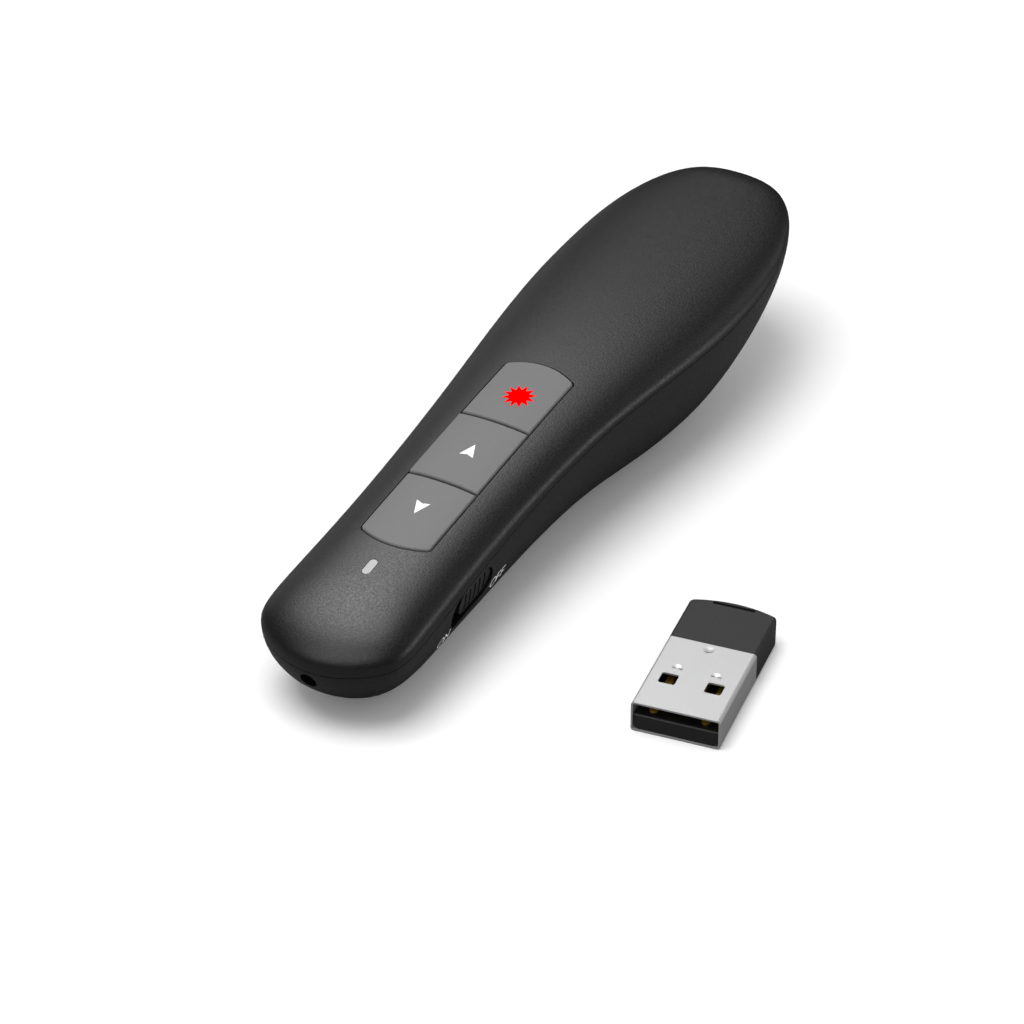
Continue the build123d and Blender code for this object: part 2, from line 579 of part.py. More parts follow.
with BuildPart() as laser_diode:
    add(rod(barrel_front.offset(BARREL_LENGTH - DIODE_LENGTH), DIODE_RADIUS, DIODE_LENGTH))
    add(rod(barrel_front.offset(BARREL_LENGTH - DIODE_LENGTH - DIODE_CAN_LENGTH), DIODE_CAN_RADIUS,
            DIODE_CAN_LENGTH))
finish(laser_diode.part, "laser_diode")

# ---------------------------------------------------------------- power switch
knob_width = SWITCH_SLOT_WIDTH - 2 * FIT
flange_inner = KNOB_FLANGE_OUTER - KNOB_FLANGE_THICKNESS
knob_plane = on_plane(switch_axis, knob_shift, 0, flange_inner)
with BuildPart() as knob_grooves:
    with BuildSketch(knob_plane):
        with GridLocations(KNOB_GROOVE_PITCH, 1, KNOB_GROOVES, 1):
            SlotOverall(KNOB_GROOVE_LENGTH, KNOB_GROOVE_WIDTH, rotation=90)
    extrude(amount=FAR)
    add(handset_solid(KNOB_RECESS + KNOB_GROOVE_DEPTH), mode=Mode.SUBTRACT)

with BuildPart() as power_switch_knob:
    with BuildSketch(knob_plane):
        SlotOverall(KNOB_LENGTH, knob_width)
    extrude(amount=FAR)
    add(handset_solid(KNOB_RECESS), mode=Mode.INTERSECT)
    add(knob_grooves.part, mode=Mode.SUBTRACT)
    with BuildSketch(knob_plane):
        RectangleRounded(flange_length, SWITCH_SLOT_WIDTH + 2 * KNOB_FLANGE_OVERLAP, KNOB_FLANGE_CORNER)
    extrude(amount=KNOB_FLANGE_THICKNESS)
finish(power_switch_knob.part, "power_switch_knob")

slider_face = Plane(
    origin=on_plane(board_top, knob_rest, -SLIDER_EDGE, -BOARD_THICKNESS - SLIDER_HEIGHT / 2).origin,
    x_dir=board_top.x_dir,
    z_dir=(0, -1, 0),
)
slot_length = LEVER_LENGTH + KNOB_TRAVEL + 2 * FIT
with BuildPart() as power_switch_body:
    with BuildSketch(on_plane(board_top, knob_rest - KNOB_TRAVEL / 2, -SLIDER_EDGE + SLIDER_WIDTH / 2,
                              -BOARD_THICKNESS)):
        Rectangle(SLIDER_LENGTH, SLIDER_WIDTH)
    extrude(amount=-SLIDER_HEIGHT)
    with BuildSketch(on_plane(slider_face, -KNOB_TRAVEL / 2, 0)):
        Rectangle(slot_length, LEVER_WIDTH + 2 * FIT)
    extrude(amount=-LEVER_REACH - FIT, mode=Mode.SUBTRACT)
finish(power_switch_body.part, "power_switch_body")

with BuildPart() as power_switch_lever:
    with BuildSketch(slider_face.offset(flange_inner - SLIDER_EDGE - LEVER_GAP)):
        Rectangle(LEVER_LENGTH, LEVER_WIDTH)
    extrude(amount=-LEVER_REACH - flange_inner + SLIDER_EDGE)
finish(power_switch_lever.part, "power_switch_lever")

# ---------------------------------------------------------------- battery
cell_plane = along_axis(CELL_FRONT, CELL_HEIGHT)
cell_back = CELL_FRONT + CELL_LENGTH
with BuildPart() as battery_cell:
    add(rod(cell_plane, CELL_RADIUS, CELL_LENGTH - CELL_NUB_LENGTH))
    chamfer(battery_cell.edges(), CELL_EDGE)
    add(rod(cell_plane.offset(CELL_LENGTH - CELL_NUB_LENGTH), CELL_NUB_RADIUS, CELL_NUB_LENGTH))
finish(battery_cell.part, "battery_cell")

with BuildPart() as battery_contact_plate:
    with BuildSketch(along_axis(cell_back + CONTACT_GAP, CELL_HEIGHT)):
        RectangleRounded(CONTACT_WIDTH, CONTACT_HEIGHT, CONTACT_CORNER)
    extrude(amount=CONTACT_THICKNESS)
finish(battery_contact_plate.part, "battery_contact_plate")

spring_front = CELL_FRONT - SPRING_SPACE
with BuildPart() as battery_spring:
    with BuildSketch(along_axis(spring_front, CELL_HEIGHT)):
        RectangleRounded(CONTACT_WIDTH, CONTACT_HEIGHT, CONTACT_CORNER)
    extrude(amount=CONTACT_THICKNESS)
    coil_start = CONTACT_THICKNESS + 2 * CONTACT_GAP
    coil_length = SPRING_SPACE - coil_start - SPRING_WIRE - CONTACT_GAP
    with BuildLine() as coil:
        Helix(pitch=coil_length / SPRING_TURNS, height=coil_length, radius=SPRING_RADIUS,
              center=(NOSE_X + spring_front + coil_start, 0, CELL_HEIGHT), direction=(1, 0, 0))
    with BuildSketch(Plane(origin=coil.line @ 0, z_dir=coil.line % 0)):
        Circle(SPRING_WIRE)
    sweep(path=coil.line, is_frenet=True)
finish(battery_spring.part, "battery_spring")

cradle_half = CELL_RADIUS + CRADLE_CLEARANCE
cradle_front = spring_front - CRADLE_WALL - CONTACT_GAP
cradle_back = cell_back + CONTACT_THICKNESS + 2 * CONTACT_GAP
cradle_end = cradle_back + CRADLE_WALL
cradle_width = 2 * (cradle_half + CRADLE_WALL)
wing_height = (CRADLE_BOTTOM + CRADLE_TOP) / 2
with BuildPart() as battery_cradle:
    for side in (-1, 1):
        add(block(cradle_front, cradle_end, CRADLE_WALL, CRADLE_BOTTOM, CRADLE_TOP,
                  side * (cradle_half + CRADLE_WALL / 2)))
    for place in (cradle_front, cradle_back):
        add(block(place, place + CRADLE_WALL, cradle_width, CRADLE_END_BOTTOM, CRADLE_TOP))
        with BuildPart(mode=Mode.PRIVATE) as wing:
            add(block(place, place + CRADLE_WALL, 2 * CRADLE_WING_REACH, wing_height,
                      wing_height + CRADLE_WING_THICKNESS))
        add(wing.part)
    add(inner_clear, mode=Mode.INTERSECT)
finish(battery_cradle.part, "battery_cradle")

# ---------------------------------------------------------------- battery door
tongue_top = bottom_height(DOOR_FRONT) + WALL + INSIDE_GAP + TONGUE_THICKNESS
with BuildPart() as over_plate:
    add(handset_solid(DOOR_WALL))
    add(block(DOOR_FRONT, DOOR_FRONT + TONGUE_ROOT, TONGUE_WIDTH, -1, tongue_top), mode=Mode.SUBTRACT)

with BuildPart() as door_tongue:
    add(block(DOOR_FRONT - TONGUE_LENGTH, DOOR_FRONT + TONGUE_ROOT, TONGUE_WIDTH, -1, tongue_top))
    add(inner_clear, mode=Mode.INTERSECT)

with BuildPart() as battery_door:
    add(outer)
    add(over_plate.part, mode=Mode.SUBTRACT)
    add(block(DOOR_FRONT, DOOR_BACK, DOOR_WIDTH, -1, OPENING_HEIGHT), mode=Mode.INTERSECT)
    with BuildSketch(Plane.XY):
        with Locations((NOSE_X + DOOR_GROOVE_PLACE, 0)):
            with GridLocations(DOOR_GROOVE_PITCH, 1, DOOR_GROOVES, 1):
                SlotOverall(DOOR_GROOVE_LENGTH, DOOR_GROOVE_WIDTH, rotation=90)
    extrude(amount=bottom_height(DOOR_GROOVE_PLACE) + DOOR_GROOVE_DEPTH, mode=Mode.SUBTRACT)
    add(door_tongue.part)
finish(battery_door.part, "battery_door")

# ---------------------------------------------------------------- case screw
with BuildPart() as case_screw:
    seat = upright(CASE_SCREW_PLACE, 0, CASE_SCREW_SEAT)
    add(rod(seat, CASE_SCREW_RADIUS, CASE_SCREW_LENGTH))
    add(rod(seat.offset(-CASE_SCREW_HEAD), CASE_SCREW_HEAD_RADIUS, CASE_SCREW_HEAD))
    add(cross_slot(seat.offset(-CASE_SCREW_HEAD), *CASE_SCREW_SLOT), mode=Mode.SUBTRACT)
finish(case_screw.part, "case_screw")

# ---------------------------------------------------------------- receiver
turn = radians(RECEIVER_TURN)
receiver = Plane(origin=(RECEIVER_X, RECEIVER_Y, 0), x_dir=(cos(turn), sin(turn), 0), z_dir=(0, 0, 1))


def receiver_cut(distance):
    """Across the receiver, a distance behind the front of the plug."""
    return Plane(origin=receiver.from_local_coords((distance, 0, PLUG_HEIGHT / 2)),
                 x_dir=(-sin(turn), cos(turn), 0), z_dir=(cos(turn), sin(turn), 0))


def plug_section(inset):
    """The plug's rounded outline, smaller by inset."""
    with BuildSketch() as outline:
        RectangleRounded(PLUG_WIDTH - 2 * inset, PLUG_HEIGHT - 2 * inset, PLUG_CORNER - inset)
    return outline.sketch


with BuildPart() as receiver_plug_shell:
    with BuildSketch(receiver_cut(0)):
        add(plug_section(0))
        add(plug_section(PLUG_SHEET), mode=Mode.SUBTRACT)
    extrude(amount=PLUG_LENGTH)
    with BuildSketch(on_plane(receiver, WINDOW_PLACE, 0)):
        with GridLocations(1, WINDOW_SPACING, 1, 2):
            RectangleRounded(WINDOW_LENGTH, WINDOW_WIDTH, WINDOW_CORNER)
    extrude(amount=2 * PLUG_HEIGHT, mode=Mode.SUBTRACT)
finish(receiver_plug_shell.part, "receiver_plug_shell")

body_top = PLUG_HEIGHT - PLUG_SHEET - CAVITY_HEIGHT
with BuildPart() as receiver_tongue:
    with BuildSketch(on_plane(receiver, TONGUE_BODY_FRONT + TONGUE_BODY_LENGTH / 2, 0, body_top)):
        Rectangle(TONGUE_BODY_LENGTH, TONGUE_BODY_WIDTH)
    extrude(amount=PLUG_SHEET + TONGUE_BODY_GAP - body_top)
    lower_edges = receiver_tongue.faces().sort_by(Axis.Z)[0].edges()
    chamfer(lower_edges.filter_by(lambda edge: edge.length > TONGUE_BODY_WIDTH), PLUG_CORNER)
    fillet(receiver_tongue.faces().sort_by(Axis.Z)[-1].edges().sort_by(Axis.X)[0], TONGUE_BODY_ROUNDING)
finish(receiver_tongue.part, "receiver_tongue")

with BuildPart() as receiver_contacts:
    for side, pin in zip(PIN_PLACES, PIN_LENGTHS):
        with BuildSketch(on_plane(receiver, PIN_BACK - pin / 2, side, body_top)):
            SlotOverall(pin, PIN_WIDTH)
        extrude(amount=PIN_THICKNESS)
finish(receiver_contacts.part, "receiver_contacts")

board_start = TONGUE_BODY_FRONT + TONGUE_BODY_LENGTH + RECEIVER_BOARD_GAP
housing_front = PLUG_LENGTH + PLUG_FIT
housing_end = PLUG_LENGTH + HOUSING_LENGTH
cavity_end = housing_end - HOUSING_END_RISE - HOUSING_WALL
board_end = cavity_end - FIT
with BuildPart() as receiver_circuit_board:
    with BuildSketch(on_plane(receiver, (board_start + board_end) / 2, 0, body_top)):
        Rectangle(board_end - board_start, RECEIVER_BOARD_WIDTH)
    extrude(amount=-RECEIVER_BOARD_THICKNESS)
finish(receiver_circuit_board.part, "receiver_circuit_board")

for name, (distance, side, length, width, thickness) in (
    ("receiver_chip", RECEIVER_CHIP),
    ("receiver_crystal", RECEIVER_CRYSTAL),
):
    with BuildPart() as chip:
        with BuildSketch(on_plane(receiver, distance, side, body_top)):
            Rectangle(length, width)
        extrude(amount=thickness)
    finish(chip.part, name)

with BuildPart() as receiver_housing:
    side, back = PLUG_WIDTH / 2, housing_end - HOUSING_END_RISE
    with BuildSketch(receiver):
        with BuildLine():
            Polyline((back, -side), (housing_front, -side), (housing_front, side), (back, side))
            ThreePointArc((back, side), (housing_end, 0), (back, -side))
        make_face()
    extrude(amount=PLUG_HEIGHT)
    fillet(receiver_housing.edges().filter_by(Axis.Z).sort_by(Axis.X)[2:], HOUSING_END_CORNER)
    # the edges at the plug stay sharp, level with its shell
    for level in (-1, 0):
        fillet(receiver_housing.faces().sort_by(Axis.Z)[level].edges().sort_by(Axis.X)[1:], PLUG_CORNER)
    with BuildSketch(receiver_cut(PLUG_LENGTH - SPIGOT_LENGTH)):
        add(plug_section(PLUG_SHEET + PLUG_FIT))
    extrude(amount=SPIGOT_LENGTH + HOUSING_WALL)
    with BuildSketch(receiver_cut(PLUG_LENGTH - SPIGOT_LENGTH)):
        Rectangle(PLUG_WIDTH - 2 * HOUSING_WALL, PLUG_HEIGHT - 2 * HOUSING_WALL)
    extrude(amount=cavity_end - PLUG_LENGTH + SPIGOT_LENGTH, mode=Mode.SUBTRACT)
    with BuildSketch(on_plane(receiver, housing_end - GRIP_SLOT_PLACE, 0, PLUG_HEIGHT)):
        SlotOverall(GRIP_SLOT_LENGTH, GRIP_SLOT_WIDTH, rotation=90)
    extrude(amount=-GRIP_SLOT_DEPTH, mode=Mode.SUBTRACT)
finish(receiver_housing.part, "receiver_housing")
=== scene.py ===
import json
import math

import bmesh
import bpy
import numpy as np
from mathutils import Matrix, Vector
from mathutils.bvhtree import BVHTree


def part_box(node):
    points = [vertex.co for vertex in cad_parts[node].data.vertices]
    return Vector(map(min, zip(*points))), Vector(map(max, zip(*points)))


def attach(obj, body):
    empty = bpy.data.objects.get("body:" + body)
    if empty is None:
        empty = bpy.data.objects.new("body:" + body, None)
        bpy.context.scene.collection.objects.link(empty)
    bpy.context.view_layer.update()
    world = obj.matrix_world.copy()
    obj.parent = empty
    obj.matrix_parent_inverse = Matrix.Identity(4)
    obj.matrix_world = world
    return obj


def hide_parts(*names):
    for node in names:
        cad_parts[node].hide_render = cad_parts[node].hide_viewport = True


MM = 0.001

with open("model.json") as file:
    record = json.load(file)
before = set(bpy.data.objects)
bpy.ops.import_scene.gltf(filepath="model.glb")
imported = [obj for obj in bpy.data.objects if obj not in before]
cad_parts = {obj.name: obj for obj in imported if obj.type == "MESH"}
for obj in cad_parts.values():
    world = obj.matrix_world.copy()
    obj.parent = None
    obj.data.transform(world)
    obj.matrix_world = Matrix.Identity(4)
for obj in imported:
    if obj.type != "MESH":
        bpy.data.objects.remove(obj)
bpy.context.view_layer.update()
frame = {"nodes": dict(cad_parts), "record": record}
nodes = frame["nodes"]
record = frame["record"]
slot_of = {part["node"]: part["material_slot"] for part in record["subparts"]}
body_of = {node: body for body, members in record["behaviour"]["bodies"].items() for node in members}
axis_of = {joint["name"]: joint["axis"] for joint in record["behaviour"]["joints"]}
mounts = {mount["name"]: mount for mount in record["mounts"]}


# ---------------------------------------------------------------- new objects
def add_object(name, data):
    obj = bpy.data.objects.new(name, data)
    bpy.context.scene.collection.objects.link(obj)
    return obj


def add_mesh(name, points, faces, mat, smooth=False):
    """An object made of points in metres and of faces that number them."""
    mesh = bpy.data.meshes.new(name)
    mesh.from_pydata(points, [], faces)
    mesh.materials.append(mat)
    for polygon in mesh.polygons:
        polygon.use_smooth = smooth
    return add_object(name, mesh)


def grid_faces(rows, columns, first=0):
    """The quads of a grid whose points are stored row by row, from the point numbered first."""
    corners = [first + row * columns + column for row in range(rows - 1) for column in range(columns - 1)]
    return [(corner, corner + 1, corner + columns + 1, corner + columns) for corner in corners]


# ---------------------------------------------------------------- the handset's surface, in mm
LENGTH, NOSE_X = 116.6, -75.0
# These are at even distances from the nose to the tail, with a spline through them.
HALF_WIDTHS = (11.42, 10.68, 12.35, 15.35, 12.53)
TOP_HEIGHTS = (13.88, 17.96, 21.32, 23.0, 23.98)
UNDERSIDE_HEIGHTS = (0.09, -0.26, 0.66, -0.16, 19.4)
WIDEST_SHARES = (0.73, 0.815, 0.765)  # height of the widest line, as a share of the section's height
TOP_FULLNESS, ELLIPSE_FULLNESS = 0.6, 0.5523  # Bezier handles of the upper and the lower quarters
NOSE_TIP_RADIUS, NOSE_CORNER_POWER = 11.6, 7.4
NOSE_TOP_LENGTH, NOSE_TOP_POWER = 15.0, 2.4
NOSE_UNDERSIDE_LENGTH, NOSE_UNDERSIDE_POWER = 15.6, 2.05
TAIL_PLAN_LENGTH, TAIL_PLAN_POWER = 22.7, 2.85
TAIL_SIDE_LENGTH, TAIL_SIDE_POWER = 4.0, 2.7
TIP_SPARE = 0.03  # no section is taken closer to the two tips than this
SMALLEST = 0.01  # half widths and heights of sections are never taken as less
TINY = 1e-9  # keeps a division away from zero
QUARTER = np.linspace(0, 1, 801)  # places along a quarter of the section
LENGTH_STEP, QUARTER_STEP = 0.02, 0.004  # to both sides of a point, to find how the skin lies there


def spline(values, s):
    """A natural cubic spline through values at even distances on the handset, at s mm behind the nose."""
    spans = len(values) - 1
    matrix = 4 * np.eye(spans - 1) + np.eye(spans - 1, k=1) + np.eye(spans - 1, k=-1)
    bend = np.concatenate(([0], np.linalg.solve(matrix, 6 * np.diff(values, 2)), [0]))
    values = np.array(values)
    share = np.clip(s / LENGTH, 0, 1) * spans
    k = np.minimum(share.astype(int), spans - 1)
    t = share - k
    u = 1 - t
    return u * values[k] + t * values[k + 1] + ((u**3 - u) * bend[k] + (t**3 - t) * bend[k + 1]) / 6


def rounding(distance, length, power):
    """Grows from 0 at an end to 1 at a distance of length. A higher power makes a tighter corner."""
    return (1 - (1 - np.clip(distance / length, 0, 1)) ** power) ** (1 / power)


def profile(s):
    """Half width, height above and below the widest line, and height of that line, s mm behind the nose."""
    s = np.clip(s, TIP_SPARE, LENGTH - TIP_SPARE)
    to_tail = LENGTH - s
    top, low = spline(TOP_HEIGHTS, s), spline(UNDERSIDE_HEIGHTS, s)
    middle = low + (top - low) * spline(WIDEST_SHARES, s)
    side = spline(HALF_WIDTHS, s)
    tip = (side**2 / (2 * NOSE_TIP_RADIUS * s)) ** (NOSE_CORNER_POWER / 2)
    nose = (1 + tip) ** (-1 / NOSE_CORNER_POWER)
    wide = side * nose * rounding(to_tail, TAIL_PLAN_LENGTH, TAIL_PLAN_POWER)
    tail = rounding(to_tail, TAIL_SIDE_LENGTH, TAIL_SIDE_POWER)
    up = (top - middle) * rounding(s, NOSE_TOP_LENGTH, NOSE_TOP_POWER) * tail
    down = (middle - low) * rounding(s, NOSE_UNDERSIDE_LENGTH, NOSE_UNDERSIDE_POWER) * tail
    return wide, up, down, middle


def quarter(fullness):
    """A quarter of the section, from its widest line to its top, as shares of half width and height."""
    t, u = QUARTER, 1 - QUARTER
    across = u**3 + 3 * u**2 * t + 3 * u * t**2 * fullness
    height = 3 * u**2 * t * fullness + 3 * u * t**2 + t**3
    return across, height


UPPER, LOWER = quarter(TOP_FULLNESS), quarter(ELLIPSE_FULLNESS)


def place_on_quarter(angle, above):
    """The place along its quarter where the section meets a ray from its middle at that angle."""
    places = [np.interp(angle, np.arctan2(height, across), QUARTER) for across, height in (UPPER, LOWER)]
    return np.where(above, *places)


def skin(points, inset):
    """For points in mm: how far each is from the skin moved in by inset, and the skin's normal there."""
    s = points[:, 0] - NOSE_X
    side = np.where(points[:, 1] < 0, -1.0, 1.0)
    wide, up, down, middle = profile(s)
    from_middle = np.stack([0 * s, points[:, 1], points[:, 2] - middle], axis=1)
    above = from_middle[:, 2] >= 0
    height = np.where(above, up, down) - inset
    share_across = np.abs(from_middle[:, 1]) / np.maximum(wide - inset, SMALLEST)
    share_up = np.abs(from_middle[:, 2]) / np.maximum(height, SMALLEST)
    t = place_on_quarter(np.arctan2(share_up, share_across), above)

    def on_skin(s, t):
        wide, up, down, middle = profile(s)
        across, rise = (np.where(above, np.interp(t, QUARTER, upper), np.interp(t, QUARTER, lower))
                        for upper, lower in zip(UPPER, LOWER))
        height = np.where(above, up - inset, -(down - inset))
        return np.stack([s + NOSE_X, side * across * (wide - inset), middle + rise * height], axis=1)

    along = on_skin(s + LENGTH_STEP, t) - on_skin(s - LENGTH_STEP, t)
    around = on_skin(s, np.clip(t + QUARTER_STEP, 0, 1)) - on_skin(s, np.clip(t - QUARTER_STEP, 0, 1))
    normal = np.cross(along, around)
    normal /= np.maximum(np.linalg.norm(normal, axis=1, keepdims=True), TINY)
    outward = np.sign(np.sum(normal * from_middle, axis=1))
    normal *= np.where(outward == 0, 1, outward)[:, None]
    gap = np.sum((points - on_skin(s, t)) * normal, axis=1)
    return gap, normal


# ---------------------------------------------------------------- materials
NOISE_DETAIL = 3.0
NOISE_LOW, NOISE_HIGH = 0.3, 0.7  # the noise is spread between these two values
SMOOTHEST, ROUGHEST = 0.02, 1.0
BUMP_DEPTH = 0.05 * MM


def material(name, colour, rough, metal=0.0, specular=0.5, bump=0.0, noise_scale=900.0, grain=0.0,
             transmission=0.0, glow=0.0):
    """A procedural material: fine noise varies its roughness by grain and raises its surface by bump; glow
    is painted light in its own colour.
    """
    mat = bpy.data.materials.new(name)
    mat.use_nodes = True
    tree = mat.node_tree
    inputs = tree.nodes["Principled BSDF"].inputs
    inputs["Base Color"].default_value = (*colour, 1)
    inputs["Metallic"].default_value = metal
    inputs["Specular IOR Level"].default_value = specular
    inputs["Transmission Weight"].default_value = transmission
    inputs["Emission Color"].default_value = (*colour, 1)
    inputs["Emission Strength"].default_value = glow
    place = tree.nodes.new("ShaderNodeTexCoord")
    noise = tree.nodes.new("ShaderNodeTexNoise")
    noise.inputs["Scale"].default_value = noise_scale
    noise.inputs["Detail"].default_value = NOISE_DETAIL
    tree.links.new(place.outputs["Object"], noise.inputs["Vector"])
    spread = tree.nodes.new("ShaderNodeMapRange")
    spread.inputs["From Min"].default_value = NOISE_LOW
    spread.inputs["From Max"].default_value = NOISE_HIGH
    spread.inputs["To Min"].default_value = max(rough - grain, SMOOTHEST)
    spread.inputs["To Max"].default_value = min(rough + grain, ROUGHEST)
    tree.links.new(noise.outputs["Fac"], spread.inputs["Value"])
    tree.links.new(spread.outputs["Result"], inputs["Roughness"])
    if bump:
        height = tree.nodes.new("ShaderNodeBump")
        height.inputs["Strength"].default_value = bump
        height.inputs["Distance"].default_value = BUMP_DEPTH
        tree.links.new(noise.outputs["Fac"], height.inputs["Height"])
        tree.links.new(height.outputs["Normal"], inputs["Normal"])
    return mat


SLOTS = {
    "casing_black": material("casing", (0.008, 0.008, 0.0083), 0.42, bump=0.4, noise_scale=3600.0,
                             grain=0.07),
    "key_grey": material("keys", (0.152, 0.152, 0.154), 0.55, specular=0.3, bump=0.1, noise_scale=3000.0,
                         grain=0.04),
    "switch_grey": material("knob", (0.018, 0.018, 0.0185), 0.45, bump=0.15, noise_scale=2600.0,
                            grain=0.04),
    "light_pipe": material("light_pipe", (0.37, 0.37, 0.37), 0.4, grain=0.05),
    "led_package": material("led", (0.8, 0.78, 0.6), 0.3, grain=0.05),
    "board_green": material("board", (0.02, 0.13, 0.05), 0.35, grain=0.08),
    "chip_black": material("chip", (0.03, 0.03, 0.03), 0.6, grain=0.05),
    "crystal_can": material("crystal_can", (0.7, 0.7, 0.7), 0.3, metal=1.0, grain=0.08),
    "antenna_ceramic": material("ceramic", (0.85, 0.84, 0.8), 0.3, grain=0.04),
    "tact_housing": material("tact", (0.12, 0.12, 0.12), 0.5, grain=0.05),
    "tact_plunger": material("plunger", (0.7, 0.68, 0.62), 0.5, grain=0.05),
    "laser_brass": material("brass", (0.78, 0.6, 0.3), 0.3, metal=1.0, grain=0.08),
    "laser_glass": material("lens", (0.8, 0.85, 0.9), 0.05, transmission=0.9),
    "laser_can": material("diode", (0.65, 0.6, 0.5), 0.3, metal=1.0, grain=0.05),
    "cell_sleeve": material("cell", (0.45, 0.46, 0.48), 0.3, metal=0.6, grain=0.05),
    "contact_steel": material("contacts", (0.72, 0.72, 0.72), 0.3, metal=1.0, grain=0.08),
    "cradle_black": material("cradle", (0.04, 0.04, 0.042), 0.55, grain=0.05),
    "screw_steel": material("screws", (0.5, 0.5, 0.52), 0.35, metal=1.0, grain=0.08),
    "plug_steel": material("plug", (0.5, 0.5, 0.505), 0.5, metal=0.55, bump=0.06, noise_scale=4200.0,
                           grain=0.1),
    "tongue_black": material("tongue", (0.008, 0.008, 0.008), 0.45, grain=0.05),
    "contact_gold": material("gold", (0.75, 0.5, 0.08), 0.35, metal=0.7, grain=0.06),
    "receiver_black": material("receiver", (0.022, 0.022, 0.0225), 0.5, specular=0.3, bump=0.1,
                               noise_scale=3000.0, grain=0.05),
}
# The prints are red and white, and their glow is painted light that makes them brighter than the lamps
# light them.
STAR_RED_PAINTED_GLOW = material("star_red_painted_glow", (1.0, 0.0, 0.0), 0.9, specular=0.0, glow=0.35)
ARROW_WHITE_PAINTED_GLOW = material("arrow_white_painted_glow", (0.95, 0.95, 0.95), 0.6, specular=0.1, glow=0.1)
LETTER_WHITE_PAINTED_GLOW = material("letter_white_painted_glow", (0.95, 0.95, 0.95), 0.6, specular=0.1, glow=0.5)
for name, node in nodes.items():
    node.data.materials.clear()
    node.data.materials.append(SLOTS[slot_of[name]])

# ---------------------------------------------------------------- smooth casings
KEY_PROUD, KNOB_RECESS = 0.25, 0.3  # the keys stand out of the skin, and the knob lies below it
SKIN_INSETS = {
    "upper_shell": 0.0,
    "lower_shell": 0.0,
    "battery_door": 0.0,
    "laser_button": -KEY_PROUD,
    "forward_button": -KEY_PROUD,
    "back_button": -KEY_PROUD,
    "power_switch_knob": KNOB_RECESS,
}
WELD = 0.001 * MM  # corners closer than this become one
SKIN_REACH = 0.05  # a face is part of the skin when all its corners are closer to it than this
SKIN_FACING = 0.7  # and when it faces the skin's way, as a cosine


def smooth_copy(node, inset):
    """The node's shape again, shaded as the smooth skin it was cut from."""
    mesh = nodes[node].data.copy()
    mesh.name = node + "_smooth"
    obj = add_object(node + "_smooth", mesh)
    work = bmesh.new()
    work.from_mesh(mesh)
    bmesh.ops.remove_doubles(work, verts=work.verts, dist=WELD)
    work.to_mesh(mesh)
    work.free()
    for polygon in mesh.polygons:
        polygon.use_smooth = True
    points = np.array([vertex.co for vertex in mesh.vertices], float) / MM
    facings = np.array([polygon.normal for polygon in mesh.polygons], float)
    corners = np.zeros(len(mesh.loops), int)
    mesh.loops.foreach_get("vertex_index", corners)
    owner = np.zeros(len(mesh.loops), int)
    for polygon in mesh.polygons:
        owner[polygon.loop_start:polygon.loop_start + polygon.loop_total] = polygon.index
    normals = facings[owner]
    gap, skin_normal = skin(points, inset)
    corners_off = np.zeros(len(facings), int)
    np.add.at(corners_off, owner, np.abs(gap)[corners] >= SKIN_REACH)
    facing = np.sum(skin_normal[corners] * normals, axis=1) > SKIN_FACING
    take = (corners_off[owner] == 0) & facing
    normals[take] = skin_normal[corners][take]
    mesh.normals_split_custom_set([tuple(normal) for normal in normals])
    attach(obj, body_of[node])
    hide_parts(node)


for name, inset in SKIN_INSETS.items():
    smooth_copy(name, inset)

# ---------------------------------------------------------------- print on the keys and the casing, in mm
PAINT_LIFT = 0.02  # height of the paint above the surface
RAY_START = 30.0  # the rays that look for the surface start this far in front of it
UPWARD = -Vector(axis_of["forward_button_press"]).normalized()  # out of the keys' plane
ALONG = Vector((UPWARD.z, 0, -UPWARD.x))  # in the keys' plane, towards the tail
ACROSS = Vector((0, 1, 0))  # away from the power switch's side


def printed(name, node, mat, origin, across, up, patches):
    """Flat patches of paint laid on a node: each a grid of rows of points, measured from the origin."""
    towards = -across.cross(up)
    source = nodes[node].data
    corners = [vertex.co / MM for vertex in source.vertices]
    target = BVHTree.FromPolygons(corners, [list(polygon.vertices) for polygon in source.polygons])
    points, faces = [], []
    for rows in patches:
        faces += grid_faces(len(rows), len(rows[0]), first=len(points))
        for x, y in (point for row in rows for point in row):
            start = origin + across * x + up * y - towards * RAY_START
            hit, normal, _, _ = target.ray_cast(start, towards)
            points.append((hit + normal * PAINT_LIFT) * MM)
    obj = add_mesh(name, points, faces, mat)
    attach(obj, body_of[node])


def fan(outline, rings=5):
    """A patch that fills a closed outline from its middle, as shrunken copies of the outline."""
    outline = [*outline, outline[0]]
    return [[(x * k / rings, y * k / rings) for x, y in outline] for k in range(rings + 1)]


STAR_TIPS, STAR_RADIUS, STAR_NOTCH_RADIUS = 12, 2.4, 1.38
ARROW_TIP, ARROW_BARB, ARROW_NOTCH = 1.42, 1.06, 0.7  # distances from its middle
ARROW_HALF_WIDTH = 1.04
# From the middle of each key's box: how far along, and how far across.
STAR_PLACE, FORWARD_PLACE, BACK_PLACE = (-0.83, -0.3), (-0.06, -0.25), (1.07, 0.0)


def star():
    angles = [math.pi * k / STAR_TIPS for k in range(2 * STAR_TIPS)]
    radii = [STAR_RADIUS, STAR_NOTCH_RADIUS] * STAR_TIPS
    return [(radius * math.cos(angle), radius * math.sin(angle)) for angle, radius in zip(angles, radii)]


def arrowhead(direction):
    """A notched arrowhead that points to the tail for a direction of 1, and to the nose for -1."""
    tip, barb, notch = ARROW_TIP * direction, -ARROW_BARB * direction, -ARROW_NOTCH * direction
    return [(tip, 0), (barb, ARROW_HALF_WIDTH), (notch, 0), (barb, -ARROW_HALF_WIDTH)]


